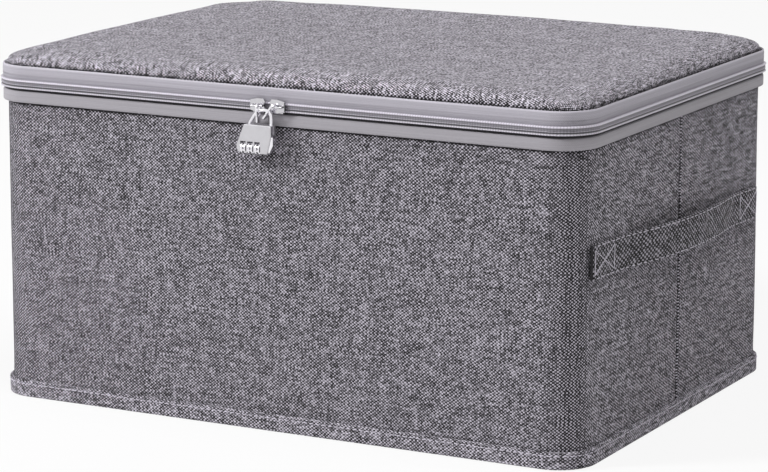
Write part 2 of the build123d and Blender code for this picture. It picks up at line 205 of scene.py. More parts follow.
# The rings of one stitch: how far along it, and the share of its thickness there
STITCH_RINGS = ((-0.5, 0.45), (-0.3, 1.0), (0.3, 1.0), (0.5, 0.45))
STITCH_SIDES, STITCH_RISE = 6, 0.00016


def stitches(name, marks, long, thick):
    """Rows of short raised threads. Each mark is a middle, its direction and its outward normal."""
    verts, faces = [], []
    for middle, way, out in marks:
        side = out.cross(way).normalized()
        start = len(verts)
        for t, w in STITCH_RINGS:
            arch = STITCH_RISE * (1 - (2 * t) ** 2)
            for k in range(STITCH_SIDES):
                a = 2 * math.pi * k / STITCH_SIDES
                verts.append(middle + way * t * long + side * math.cos(a) * w * thick / 2
                             + out * (arch + math.sin(a) * w * thick / 2))
        faces += skin(len(STITCH_RINGS), STITCH_SIDES, start, flip=True)
        faces.append(tuple(range(start, start + STITCH_SIDES)))
        faces.append(tuple(range(len(verts) - 1, len(verts) - 1 - STITCH_SIDES, -1)))
    return make(name, verts, faces)


# Materials

class Nodes:
    """A small helper for building a node tree."""

    def __init__(self, tree):
        self.tree = tree

    def first(self, kind):
        return next(n for n in self.tree.nodes if n.type == kind)

    def put(self, socket, value):
        if isinstance(value, bpy.types.NodeSocket):
            self.tree.links.new(value, socket)
        else:
            socket.default_value = value

    def node(self, kind, out=0, options=None, **inputs):
        n = self.tree.nodes.new(kind)
        for key, value in (options or {}).items():
            setattr(n, key, value)
        for key, value in inputs.items():
            self.put(n.inputs[key.replace("_", " ")], value)
        return n.outputs[out]

    def math(self, operation, a, b=0.0, c=0.0):
        n = self.tree.nodes.new("ShaderNodeMath")
        n.operation = operation
        for socket, value in zip(n.inputs, (a, b, c)):
            self.put(socket, value)
        return n.outputs[0]

    def backdrop(self, lit, plain, output, share=1.0):
        """Lets the camera, mirrors and clear things see the plain shader in place of the lit one."""
        path = self.tree.nodes.new("ShaderNodeLightPath")
        seen = self.math("MAXIMUM", path.outputs["Is Camera Ray"], path.outputs["Is Glossy Ray"])
        seen = self.math("MAXIMUM", seen, path.outputs["Is Transmission Ray"])
        mix = self.tree.nodes.new("ShaderNodeMixShader")
        for socket, value in zip(mix.inputs, (self.math("MULTIPLY", seen, share), lit, plain)):
            self.put(socket, value)
        self.put(self.first(output).inputs[0], mix.outputs[0])


class Graph(Nodes):
    """The nodes of one new material."""

    def __init__(self, name):
        self.material = bpy.data.materials.new(name)
        self.material.use_nodes = True
        super().__init__(self.material.node_tree)
        self.shader = self.first("BSDF_PRINCIPLED")

    def times(self, value, *more):
        for factor in more:
            value = self.math("MULTIPLY", value, factor)
        return value

    def vary(self, tone, value, share):
        """The tone, plus this share of how far the value is from its middle."""
        return self.math("MULTIPLY_ADD", self.math("SUBTRACT", value, 0.5), share, tone)

    def limit(self, value, most):
        return self.math("MINIMUM", self.math("MAXIMUM", value, 0.0), most)

    def place(self, kind):
        return self.node("ShaderNodeTexCoord", kind)

    def axes(self, kind):
        split = self.tree.nodes.new("ShaderNodeSeparateXYZ")
        self.put(split.inputs[0], self.place(kind))
        return split.outputs

    def plane(self):
        """Where a point is on the flat cloth, along and up, in mm."""
        return [self.times(way, 1 / MM) for way in self.axes("UV")[:2]]

    def height_mm(self):
        """The height over the floor at rest, in mm."""
        return self.times(self.axes("Object")[2], 1 / MM)

    def cornering(self):
        """How much a surface faces into a corner of the box, from 0 to a quarter."""
        facing = self.axes("Normal")
        turn = self.times(facing[0], facing[1])
        return self.times(turn, turn)

    def combine(self, x, y, z=0.0):
        return self.node("ShaderNodeCombineXYZ", X=x, Y=y, Z=z)

    def noise(self, vector, scale, detail=2.0, rough=0.5):
        return self.node("ShaderNodeTexNoise", Vector=vector, Scale=scale, Detail=detail, Roughness=rough)

    def random(self, vector):
        return self.node("ShaderNodeTexWhiteNoise", Vector=vector)

    def ramp(self, factor, stops):
        n = self.tree.nodes.new("ShaderNodeValToRGB")
        self.put(n.inputs[0], factor)
        marks = n.color_ramp.elements
        marks[0].position, marks[1].position = stops[0][0], stops[-1][0]
        marks[0].color, marks[1].color = (*stops[0][1], 1), (*stops[-1][1], 1)
        for place, colour in stops[1:-1]:
            marks.new(place).color = (*colour, 1)
        return n.outputs[0]

    def shaded(self, colour, share):
        return self.node("ShaderNodeVectorMath", options={"operation": "SCALE"}, Vector=colour, Scale=share)

    def bump(self, height, distance, strength=1.0):
        return self.node("ShaderNodeBump", Height=height, Distance=distance, Strength=strength)

    def finish(self, colour, rough, normal=None, **fixed):
        self.put(self.shader.inputs["Base Color"], colour)
        self.put(self.shader.inputs["Roughness"], rough)
        if normal is not None:
            self.put(self.shader.inputs["Normal"], normal)
        for key, value in fixed.items():
            self.shader.inputs[key.replace("_", " ")].default_value = value
        return self.material


def grey(level):
    """The cloth's grey at this level, which leans a little to violet."""
    return (level * 1.03, level * 0.98, level * 1.115)


def steel_grey(level):
    return (level, level * 0.985, level * 1.03)


# How often rows of the weave stray and yarns change their thickness, per mm, how far rows stray, in
# crossings, and how far apart the noise for two neighbouring yarns is taken
STRAY_STEP, YARN_STEP, STRAY, YARN_APART = 0.06, 0.05, 2.0, 7.3
# How far in from the lid's edges its slubs are stronger, in mm, and how much paler the edges are: painted
# light on the lid's rolled edge
EDGE_REACH, EDGE_PAINTED_LIGHT = 20.0, 0.038
# Shade at the lid's foot: how fast it comes, per mm, and the most. Then the same for the walls where they go
# under the tape, from this height in mm.
FOOT_SHADE, FOOT_MOST = 0.3, 0.35
TAPE_SHADE, TAPE_MOST, TAPE_Z = 0.9, 0.75, 166.8
# The side seam: half its width, and from one needle hole to the next, in mm
SEAM_HALF, NEEDLE_STEP = 1.5, 3.0
# The linen's middle tone, and how much it changes with a crossing's own shade, from pale to dark crossings,
# over the bulge of one, with slubs and with its yarns. Yarns over this thickness are paler still.
TONE, OWN_SHARE, PALE_SHARE, BULGE_SHARE, SLUB_SHARE, YARN_SHARE = 0.49, 0.72, 1.3, 0.25, 0.85, 0.55
THICK_FROM, THICK_SHARE = 0.76, 3.0


def linen(name, dark, middle, light, across=1.1, up=0.86, fleck=1.0, slub=1.0, corner=0.0, seam=0.0,
          grain=(0.16, 0.75), edges=(), foot=0.0):
    """Plain-woven slub cloth: pale and dark crossings alternate, each with a shade of its own.

    Dark, middle and light are its greys, and across and up the size of a crossing, in mm. Fleck and slub
    say how strong its crossings and thick places are, and grain how often a thick place comes, per mm.
    Corner is how far the crossings stand out round the box's corners, and seam the cloth's length from one
    side seam to the next. Edges are half the lid's width and depth, and foot is the height of its lower
    edge, all in mm.
    """
    g = Graph(name)
    x, y = g.plane()
    # yarns wander a little, so that the rows of the weave aren't ruled lines
    v = g.math("MULTIPLY_ADD", g.noise(g.combine(y, x, 7.0), STRAY_STEP, 1.0), STRAY, g.math("DIVIDE", y, up))
    row = g.math("FLOOR", v)
    # each yarn is thicker and paler along some of its length, and pushes the crossings along
    weft = g.noise(g.combine(g.times(x, YARN_STEP), g.times(row, YARN_APART)), 1.0, 1.0)
    u = g.math("MULTIPLY_ADD", g.noise(g.combine(x, y), STRAY_STEP, 1.0), STRAY, g.math("DIVIDE", x, across))
    u = g.math("MULTIPLY_ADD", weft, 1.3, u)
    column = g.math("FLOOR", u)
    warp = g.noise(g.combine(g.times(column, YARN_APART), g.times(y, YARN_STEP), 5.0), 1.0, 1.0)
    own = g.random(g.combine(column, row))
    pale = g.times(g.math("FRACT", g.times(g.math("ADD", column, row), 0.5)), 2.0)
    waves = [g.math("SINE", g.times(way, math.pi)) for way in (u, v)]
    bulge = g.math("ABSOLUTE", g.times(*waves))

    # slubs a few crossings long, stronger on the sides and towards the lid's edges
    slubs = g.noise(g.combine(g.times(x, grain[0]), g.times(y, grain[1]), 2.0), 1.0, 2.0, 0.6)
    if edges:
        inset = g.math("MINIMUM", *[g.math("SUBTRACT", half, g.math("ABSOLUTE", way))
                                    for half, way in zip(edges, (x, y))])
        edge = g.math("EXPONENT", g.math("DIVIDE", g.math("MAXIMUM", inset, 0.0), -EDGE_REACH))
        strong = g.math("MULTIPLY_ADD", edge, 2.4, 0.6)
    else:
        sideways = g.axes("Normal")[0]
        strong = g.math("MULTIPLY_ADD", g.times(sideways, sideways), 1.3, 0.9)

    tone = g.vary(TONE, own, OWN_SHARE * fleck)
    tone = g.vary(tone, pale, g.times(bulge, PALE_SHARE * fleck))
    tone = g.vary(tone, bulge, BULGE_SHARE * fleck)
    tone = g.vary(tone, slubs, g.times(strong, SLUB_SHARE * slub))
    for run in (weft, warp):
        tone = g.vary(tone, run, YARN_SHARE * slub)
        thick = g.math("MAXIMUM", g.math("SUBTRACT", run, THICK_FROM), 0.0)
        tone = g.math("MULTIPLY_ADD", thick, THICK_SHARE * slub, tone)
    if edges:
        # painted light: the lid's rolled edge is painted paler
        tone = g.math("MULTIPLY_ADD", edge, EDGE_PAINTED_LIGHT, tone)
    if foot:
        low = g.times(g.math("SUBTRACT", foot, g.height_mm()), FOOT_SHADE)
        tone = g.math("SUBTRACT", tone, g.limit(low, FOOT_MOST))
    if corner:
        # stretched round a corner, the pale crossings stand out as dots on dark ones
        dots = g.times(pale, bulge, g.math("MULTIPLY_ADD", own, 2.1, 0.6))
        dots = g.times(dots, g.math("MULTIPLY_ADD", g.random(g.combine(column, 3.0)), 2.0, 0.4))
        turn = g.times(g.cornering(), 4.0 * corner)
        tone = g.math("MULTIPLY_ADD", turn, g.math("SUBTRACT", dots, tone), tone)
    if seam:
        # needle holes and shade in the seam up the middle of each side
        off = g.math("FRACT", g.math("ADD", g.math("DIVIDE", x, seam), 0.5))
        off = g.times(g.math("ABSOLUTE", g.math("SUBTRACT", off, 0.5)), seam)
        hole = g.math("MULTIPLY_ADD", g.math("SINE", g.times(y, 2 * math.pi / NEEDLE_STEP)), 0.55, 0.6)
        shade = g.times(g.math("MAXIMUM", g.math("SUBTRACT", SEAM_HALF, off), 0.0), 0.62)
        tone = g.math("SUBTRACT", tone, g.times(shade, hole))
        # the cloth is in shade where it goes under the tape
        under = g.times(g.math("SUBTRACT", g.height_mm(), TAPE_Z), TAPE_SHADE)
        tone = g.math("SUBTRACT", tone, g.limit(under, TAPE_MOST))
    colour = g.ramp(tone, [(0.0, grey(dark)), (0.5, grey(middle)), (1.0, grey(light))])
    height = g.math("MULTIPLY_ADD", bulge, 0.7, g.times(own, 0.3))
    return g.finish(colour, 0.93, g.bump(height, 0.00035, 0.9), Sheen_Weight=0.06, Sheen_Roughness=0.6,
                    Specular_IOR_Level=0.2)


# From one line of the twill, and one knitted row, to the next, in mm
TWILL_STEP, KNIT_STEP = 0.9, 0.8
# Heights on the tapes, in mm: the upper edge, painted paler as a highlight, and the middle and half width of
# a darker line and of the groove behind the zip, which is painted dark as shade
TAPE_HIGHLIGHT_Z, TAPE_LINE, TAPE_GROOVE_SHADE = 188.2, (182.9, 1.5), (178.15, 3.25)


def tape_cloth(name, level, cool=1.0, groove_shade=True):
    """Knitted zip tape: smooth, with faint lines along it, a fine twill, a painted highlight along its upper
    edge, and painted shade in the groove behind the zip.
    """
    g = Graph(name)
    x, y = g.plane()
    z = g.height_mm()
    lines = g.noise(g.combine(g.times(x, 0.014), g.times(y, 1.1)), 1.0, 3.0, 0.55)
    slant = g.math("ADD", x, g.times(y, 1.1))
    twill = g.math("SINE", g.times(slant, 2 * math.pi / TWILL_STEP))
    knit = g.math("SINE", g.times(y, 2 * math.pi / KNIT_STEP))
    fuzz = g.noise(g.combine(x, y, 4.0), 1.4, 3.0, 0.6)
    tone = g.vary(0.5, lines, 1.3)
    tone = g.math("MULTIPLY_ADD", twill, g.math("MULTIPLY_ADD", g.cornering(), 1.6, 0.05), tone)
    tone = g.vary(tone, fuzz, 0.4)
    # painted highlight: the tape's upper edge is painted paler
    tone = g.math("MULTIPLY_ADD", g.math("GREATER_THAN", z, TAPE_HIGHLIGHT_Z), 0.95, tone)
    tone = g.math("MULTIPLY_ADD", g.math("COMPARE", z, *TAPE_LINE), -0.5, tone)
    tone = g.math("MULTIPLY_ADD", tone, 0.4, 0.2)
    if groove_shade:
        # painted shade: the tape in the groove behind the zip is painted dark
        tone = g.math("SUBTRACT", tone, g.times(g.math("COMPARE", z, *TAPE_GROOVE_SHADE), 4.0))
    stops = [(place, (level * share * 1.025, level * share * 0.985, level * share * (1.03 + 0.08 * cool)))
             for place, share in ((0.0, 0.12), (0.06, 0.70), (1.0, 1.475))]
    height = g.math("ADD", g.times(twill, 0.5), g.times(knit, 0.35))
    return g.finish(g.ramp(tone, stops), 0.7, g.bump(height, 0.00009, 0.7), Sheen_Weight=0.05,
                    Specular_IOR_Level=0.35)


# The foot of the closed coils and how high they go, in mm, and a tooth's length. Across them: height in mm,
# and the share of the coil's grey there: painted highlights on the ridges and painted shade in the hollows.
COIL_LOW, COIL_SPAN, TOOTH = 176.0, 6.0, 1.5 * MM
COIL_LIGHT_AND_SHADE = ((176.3, 0.3), (176.5, 1.3), (177.1, 1.3), (177.4, 0.45), (177.55, 0.15), (178.1, 0.13),
              (178.35, 0.7), (178.55, 0.9), (179.1, 0.9), (179.4, 0.45), (180.2, 0.4), (180.5, 1.5),
              (181.15, 1.5), (181.4, 0.9))


def nylon(name, level):
    """The zip's coil: a painted highlight on the ridge where it bends at each edge, and a darker ribbed face
    between, with painted shade in its hollows.
    """
    g = Graph(name)
    x, y = g.plane()
    tooth = g.math("ABSOLUTE", g.math("SINE", g.times(x, math.pi / (TOOTH / MM))))
    fuzz = g.noise(g.combine(x, y), 2.0, 2.0)
    place = g.math("DIVIDE", g.math("SUBTRACT", g.height_mm(), COIL_LOW), COIL_SPAN)
    # painted light: the coil's grey by height, bright on its ridges and dark in its hollows
    face = g.ramp(place, [((z - COIL_LOW) / COIL_SPAN, grey(level * share)) for z, share in COIL_LIGHT_AND_SHADE])
    rib = g.math("MULTIPLY_ADD", tooth, 0.34, g.math("MULTIPLY_ADD", fuzz, 0.3, 0.62))
    return g.finish(g.shaded(face, rib), 0.42, g.bump(tooth, 0.00008, 0.5), Specular_IOR_Level=0.45)


def metal(name, level, rough, grain=0.4, sides=1.0):
    """Plated or die-cast metal, with faint smears and fine grain.

    Sides is the share of its colour that the faces at its left and right ends keep: painted shade there.
    """
    g = Graph(name)
    where = g.place("Object")
    smear = g.noise(where, 260.0, 3.0, 0.6)
    fine = g.noise(where, 2600.0, 2.0, 0.6)
    colour = g.ramp(smear, [(0.25, steel_grey(level * 0.93)), (0.75, steel_grey(level))])
    if sides < 1:
        # painted shade: faces turned to the left and right are painted darker
        end = g.math("GREATER_THAN", g.math("ABSOLUTE", g.axes("Normal")[0]), 0.7)
        colour = g.shaded(colour, g.math("MULTIPLY_ADD", end, sides - 1, 1.0))
    roughness = g.math("MULTIPLY_ADD", smear, 0.16, rough - 0.08)
    height = g.math("MULTIPLY_ADD", smear, 0.6, g.times(fine, grain))
    return g.finish(colour, roughness, g.bump(height, 0.00003, 0.5), Metallic=1.0)


def thread(name, level):
    g = Graph(name)
    fuzz = g.noise(g.place("Object"), 900.0, 3.0, 0.6)
    colour = g.ramp(fuzz, [(0.3, grey(level * 0.8)), (0.7, grey(level * 1.15))])
    return g.finish(colour, 0.6, g.bump(fuzz, 0.0001, 0.6), Sheen_Weight=0.1)


def nonwoven(name, level, scale=700.0):
    """Pressed fibre cloth with a fine pinpoint emboss."""
    g = Graph(name)
    where = g.place("Object")
    fibres = g.noise(where, scale, 4.0, 0.65)
    dots = g.node("ShaderNodeTexVoronoi", "Distance", Vector=where, Scale=620.0)
    tone = g.vary(g.math("MULTIPLY_ADD", dots, 0.25, 0.4), fibres, 0.8)
    colour = g.ramp(tone, [(0.2, grey(level * 0.85)), (0.8, grey(level * 1.12))])
    height = g.math("MULTIPLY_ADD", dots, 0.7, g.times(fibres, 0.5))
    return g.finish(colour, 0.9, g.bump(height, 0.00012, 0.7), Sheen_Weight=0.1)


def millboard(name):
    g = Graph(name)
    where = g.place("Object")
    fibres = g.noise(where, 500.0, 4.0, 0.7)
    flecks = g.noise(where, 90.0, 3.0, 0.6)
    tone = g.math("MULTIPLY_ADD", fibres, 0.6, g.times(flecks, 0.4))
    colour = g.ramp(tone, [(0.3, (0.23, 0.21, 0.19)), (0.7, (0.36, 0.34, 0.30))])
    return g.finish(colour, 0.88, g.bump(fibres, 0.0001, 0.5))


def ink(name):
    g = Graph(name)
    worn = g.noise(g.place("Object"), 3000.0, 2.0)
    return g.finish(g.ramp(worn, [(0.3, (0.02, 0.02, 0.021)), (0.8, (0.05, 0.05, 0.052))]), 0.5)


wall_linen = linen("wall_linen", 0.012, 0.13, 0.60, corner=1.0, seam=cloth_run(HALF_WAY) / MM)
hem_linen = linen("hem_linen", 0.012, 0.172, 0.72, slub=1.3)
strap_linen = linen("strap_linen", 0.001, 0.036, 0.40, across=1.9, up=1.25, fleck=1.5, slub=0.3)
# The lid's cloth has paler greys than the walls': painted light, for the light that falls on its top
lid_linen = linen("lid_linen", 0.016, 0.215, 0.85, fleck=1.2, grain=(0.75, 0.15),
                  edges=(WIDE / 2 / MM, DEEP / 2 / MM), foot=190.7)
base_linen = linen("base_linen", 0.02, 0.18, 0.55)
tape_grey = tape_cloth("tape_grey", 0.41)
low_tape_grey = tape_cloth("low_tape_grey", 0.365, cool=0.55)
hinge_grey = tape_cloth("hinge_grey", 0.385, cool=0.8, groove_shade=False)
coil_grey = nylon("coil_grey", 0.42)
thread_pale = thread("thread_pale", 0.60)
lining_grey = nonwoven("lining_grey", 0.46)
board_cloth = nonwoven("board_cloth", 0.40, 520.0)
board_grey = millboard("board_grey")
steel = metal("steel", 0.84, 0.18)
zinc = metal("zinc", 0.60, 0.38, grain=0.7)
polished = metal("polished", 0.92, 0.16)
# the dials' and sliders' faces at their left and right ends get painted shade
dial_metal = metal("dial_metal", 0.90, 0.22, sides=0.07)
slider_metal = metal("slider_metal", 0.62, 0.18, sides=0.3)
ink_black = ink("ink_black")


def dress(obj, material):
    obj.data.materials.clear()
    obj.data.materials.append(material)
    return obj


def dress_cad(material, *nodes):
    for node in nodes:
        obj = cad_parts[node]
        if not obj.material_slots:
            obj.data.materials.append(material)
        for slot in obj.material_slots:
            slot.material = material


# Walls

# Rows of points close to a side seam, and the middle of each corner, along the outline
SEAM_ROWS = [d * MM for d in (0.4, 0.9, 1.5, 2.2, 3.0, 4.2, 5.6)]
CORNER_MIDDLES = [RUN_Y / 2 + CORNER / 2, RUN_Y / 2 + RUN_X + 1.5 * CORNER,
                  1.5 * RUN_Y + RUN_X + 2.5 * CORNER, 1.5 * RUN_Y + 2 * RUN_X + 3.5 * CORNER]
# The hem's top, the number of rows of points over it and how high they go, where the cloth's inner face
# lies, and where its unevenness ends at the top and over what height it fades, in mm
HEM_TOP, WALL_ROWS, WALL_HIGH, WALL_INSIDE = 9.0, 26, 160.5, -0.95
EVEN_TOP, FADE = 170, 12


def wall_skin(s, z):
    """How far the cloth stands from the flat wall: soft unevenness, and a tuck at each side seam."""
    fade = min(1.0, max(0.0, (z - HEM_TOP) / FADE), max(0.0, (EVEN_TOP - z) / FADE) + 0.15)
    p = rim(s)[0] + Vector((0, 0, z * MM))
    wave = 0.30 * noise.noise(p * 11) + 0.12 * noise.noise(p * 34 + Vector((5, 0, 0)))
    past = s % HALF_WAY
    d = min(past, HALF_WAY - past) / MM
    tuck = -0.85 * bell(d, 1.1) + 0.12 * bell(d - 3.2, 1.6)
    # between its boards the cloth draws in at the corners, most near the top
    corner = min(abs(s % AROUND - middle) for middle in CORNER_MIDDLES) / CORNER
    drawn = -(0.35 + 0.65 * clamp((z - 20) / 130)) * bell(corner, 0.62) * min(1, z / 12)
    return wave * fade * min(1, d / 4) + tuck + drawn


def wall_section(s):
    rows = [1.0, HEM_TOP] + [HEM_TOP + i * WALL_HIGH / WALL_ROWS for i in range(1, WALL_ROWS + 1)] \
        + [172.5, 175.3]
    outer = [(wall_skin(s, z), z) for z in rows]
    return outer + [(outer[-1][0] - 0.5, 175.4), (WALL_INSIDE, 175.2), (WALL_INSIDE, 90), (WALL_INSIDE, 1.0)]


for name, start, node, boards in (("rear_cloth", 0, "rear_cover", "rear_board"),
                                  ("front_cloth", HALF_WAY, "front_cover", "front_board")):
    along = stations(start, start + HALF_WAY, 0.0034,
                     [start + d for d in SEAM_ROWS] + [start + HALF_WAY - d for d in SEAM_ROWS])
    cloth = dress(band(name, along, wall_section, run=cloth_run), wall_linen)
    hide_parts(node)
    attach(cloth, "box")


# Hem and foot

# A section is a list of (proud, height) points in mm. The stitches: from one to the next, in metres, and how
# far proud and high their row lies, in mm.
HEM_LINE = [(-0.2, 0.25), (0.5, 0.0), (1.6, 0.05), (1.85, 0.35), (1.9, 2.0), (1.92, 4.5), (1.88, 6.4),
            (1.74, 7.2), (1.74, 7.6), (1.92, 8.3), (1.8, 9.0), (1.2, 9.4), (0.5, 9.5), (-0.2, 9.2)]
HEM_STITCH_STEP, HEM_STITCH_PROUD, HEM_STITCH_Z = 0.0038, 1.86, 7.4


def hem_section(s):
    base = rim(s)[0]
    sag = 0.10 * noise.noise(base * 40) + 0.05 * noise.noise(base * 160)
    return [(p + (sag if 0.6 < z < 9.3 else 0), z + (sag if z > 8 else 0)) for p, z in HEM_LINE]


hem = dress(band("hem", stations(0, AROUND, 0.0032), hem_section), hem_linen)
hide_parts("bottom_hem")
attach(hem, "box")

marks = []
count = round(AROUND / HEM_STITCH_STEP)
for i in range(count):
    base, out = rim((i + 0.5) * AROUND / count)
    middle = base + out * HEM_STITCH_PROUD * MM + Vector((0, 0, HEM_STITCH_Z * MM))
    marks.append((middle, Vector((-out.y, out.x, 0)), out))
hem_stitches = dress(stitches("hem_stitches", marks, 0.0026, 0.0006), thread_pale)
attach(hem_stitches, "box")

foot = dress(sheet_panel("foot_cloth", -0.1, 0.05, 0.95), base_linen)
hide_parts("base_cover")
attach(foot, "box")


# Lining

# The heights of the lining's rows, and where its inner and outer faces lie, in mm
LINING_ROWS = (174.6, 170, 150, 125, 100, 75, 50, 25, 8, 2.2)
LINING_IN, LINING_OUT = -3.5, -3.05


def lining_section(s):
    base = rim(s)[0]
    inner = []
    for z in LINING_ROWS:
        wave = 0.18 * noise.noise((base + Vector((0, 0, z * MM))) * 16 + Vector((0, 9, 0)))
        inner.append((LINING_IN + min(0.1, wave), z))
    return [(-1.0, 175.0), (-1.6, 175.3), (-2.9, 175.3)] + inner + \
        [(-3.6, 1.2), (LINING_OUT, 1.1), (LINING_OUT, 90), (LINING_OUT, 174.2), (-1.0, 174.6)]


lining = dress(band("lining_bag", stations(0, AROUND, 0.005), lining_section), lining_grey)
lining_floor = dress(sheet_panel("lining_floor", -3.3, 1.05, 1.5), lining_grey)
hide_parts("lining")
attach(lining, "box")
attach(lining_floor, "box")


# Zip tapes and coils

LOW_TAPE_LINE = [(0.1, 168.6), (0.9, 168.45), (1.65, 168.5), (1.98, 168.95), (2.0, 170.6), (1.98, 173.0),
                 (1.95, 174.2), (1.6, 174.75), (1.15, 174.85), (1.12, 178.7), (1.06, 178.7), (1.05, 174.7),
                 (0.1, 174.6)]
UP_TAPE_LINE = [(1.08, 180.05), (1.14, 180.05), (1.9, 181.4), (1.96, 183.0), (2.0, 185.0), (2.0, 187.2),
                (1.95, 188.5), (1.6, 189.05), (1.1, 189.05), (1.03, 187), (1.03, 183)]
# From the chain's middle outwards: the face, then the ridge where the coil bends round the tape's edge
LOW_COIL_LINE = [(1.2, 176.4), (2.5, 176.42), (3.05, 176.5), (3.3, 176.75), (3.25, 177.0), (2.9, 177.2),
                 (2.7, 177.5), (2.7, 177.9), (2.9, 178.2), (2.95, 178.6), (2.6, 178.83), (1.2, 178.85)]
UP_COIL_LINE = [(1.2, 178.98), (2.6, 179.0), (2.93, 179.1), (2.85, 179.4), (2.78, 179.8), (2.9, 180.2),
                (3.3, 180.55), (3.35, 180.9), (3.1, 181.2), (1.95, 181.4), (1.2, 181.38)]


def tape_section(line, seed):
    """The tape's section, whose outer face sways a little along the box."""
    def section(s):
        sway = 0.07 * noise.noise(rim(s)[0] * 30 + Vector((0, 0, seed)))
        return [(p + (sway if p > 1.5 else 0), z) for p, z in line]
    return section


def coil_section(line, shift):
    """The coil's section, whose outer face rises at each tooth."""
    def section(s):
        wave = math.sin(math.pi * (s + shift) / TOOTH) ** 2
        return [(p + (0.16 * wave - 0.1 if p > 2.4 else 0), z) for p, z in line]
    return section


zip_line = stations(ZIP_START, ZIP_STOP, 0.003)
for name, line, node, body, finish, wide in (
        ("low_tape", LOW_TAPE_LINE, "lower_tape", "box", low_tape_grey, 0.0116),
        ("up_tape", UP_TAPE_LINE, "upper_tape", "lid", tape_grey, 0.0100)):
    tape = dress(band(name, zip_line, tape_section(line, len(name))), finish)
    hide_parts(node)
    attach(tape, body)

coil_line = stations(ZIP_START, ZIP_STOP, TOOTH / 4)
for name, line, shift, node, body in (("low_coil", LOW_COIL_LINE, 0.0, "lower_coil", "box"),
                                      ("up_coil", UP_COIL_LINE, TOOTH / 2, "upper_coil", "lid")):
    coil = dress(band(name, coil_line, coil_section(line, shift)), coil_grey)
    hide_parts(node)
    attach(coil, body)

# The cloth hinge across the back, one strip: it bows out a little over its fold
FOLD_LOW, FOLD_HIGH, HINGE_GAP = 174.5, 184.5, 0.0004
fold = [FOLD_LOW + 0.5 * i for i in range(21)]
hinge_line = [(0.1, 168.6), (0.9, 168.45), (1.7, 168.5), (1.98, 169.0), (2.0, 172.0), (1.98, 174.0)] + \
    [(2.0 + 0.25 * math.sin(math.pi * (z - FOLD_LOW) / (FOLD_HIGH - FOLD_LOW)), z) for z in fold] + \
    [(1.98, 185.5), (1.98, 187.2), (1.9, 188.6), (1.6, 189.05), (1.1, 189.05)] + \
    [(1.05, 187.5), (1.05, 185.5)] + \
    [(1.05, FOLD_HIGH - 0.75 * i) for i in range(12)] + [(1.05, 174.9), (0.1, 174.8)]
hinge_run = stations(ZIP_STOP - AROUND + HINGE_GAP, ZIP_START - HINGE_GAP, 0.004)
hinge = dress(band("hinge_strip", hinge_run, hinge_line), hinge_grey)
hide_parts("hinge_leaf_lower", "hinge_leaf_upper")
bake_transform(hinge)


# Lid

# The rolled edge: its radius, the inset and height of its middle, and the height of the flat top, in mm
ROLL, ROLL_IN, ROLL_Z, LID_START = 6.2, -5.3, 190.4, 196.6
# Heights in metres: cloth under the first is held while the lid swells, over the second it is uneven, and
# nothing goes over the third. The last is where its weave starts to go down over the edge.
PINNED_Z, UNEVEN_Z, LID_MOST, LID_TOP = 0.1905, 0.189, 0.1979, 0.1968
# The padding's pressure, the frames that it swells for, and the most that a point may move
PRESSURE, SWELL_FRAMES, SWELL_CAP = 3.0, 20, 0.0011
# Half the lid's width and depth at its roll, and how uneven its top is and how closely, per metre
LID_HALF_X, LID_HALF_Y, UNEVEN, UNEVEN_STEP = 0.181, 0.133, 0.0003, 16


def lid_lift(x, y):
    """How far the top stands over a level one, in mm: up in the middle, down at the ends and the corners."""
    across, deep = min(1, abs(x) / (WIDE / 2)), min(1, abs(y) / (DEEP / 2))
    return 0.6 * (1 - across ** 2) - 0.4 - 0.5 * across ** 4 - 1.5 * across ** 5 * deep ** 5


def lid_block():
    """A closed slab with a rolled edge, a little smaller than the lid, for the padding to start from."""
    roll = [(ROLL_IN + ROLL * math.cos(math.radians(a)), ROLL_Z + ROLL * math.sin(math.radians(a)))
            for a in (12, 28, 44, 60, 76, 90)]
    section = [(-0.2, 185.6), (0.7, 186.0), (0.95, 188.0), (0.95, 189.6)] + roll + \
        [(-9.0, LID_START), (-14.0, LID_START)]
    along = stations(0, AROUND, 0.004)[:-1]
    verts, n = [], len(along)
    for p, z in section:
        for s in along:
            base, out = rim(s)
            q = base + out * p * MM
            lift = lid_lift(q.x, q.y) * clamp((z - 188) / 8)
            verts.append(Vector((q.x, q.y, (z + lift) * MM)))
    faces = skin(len(section), n) + [tuple(range(len(verts) - n, len(verts))), tuple(range(n - 1, -1, -1))]
    return make("lid_cloth", verts, faces)


def apply(obj, kind, **settings):
    """Adds a modifier to the piece and bakes it into the mesh."""
    modifier = obj.modifiers.new(kind.lower(), kind)
    for key, value in settings.items():
        setattr(modifier, key, value)
    bpy.context.view_layer.objects.active = obj
    bpy.ops.object.modifier_apply(modifier=modifier.name)


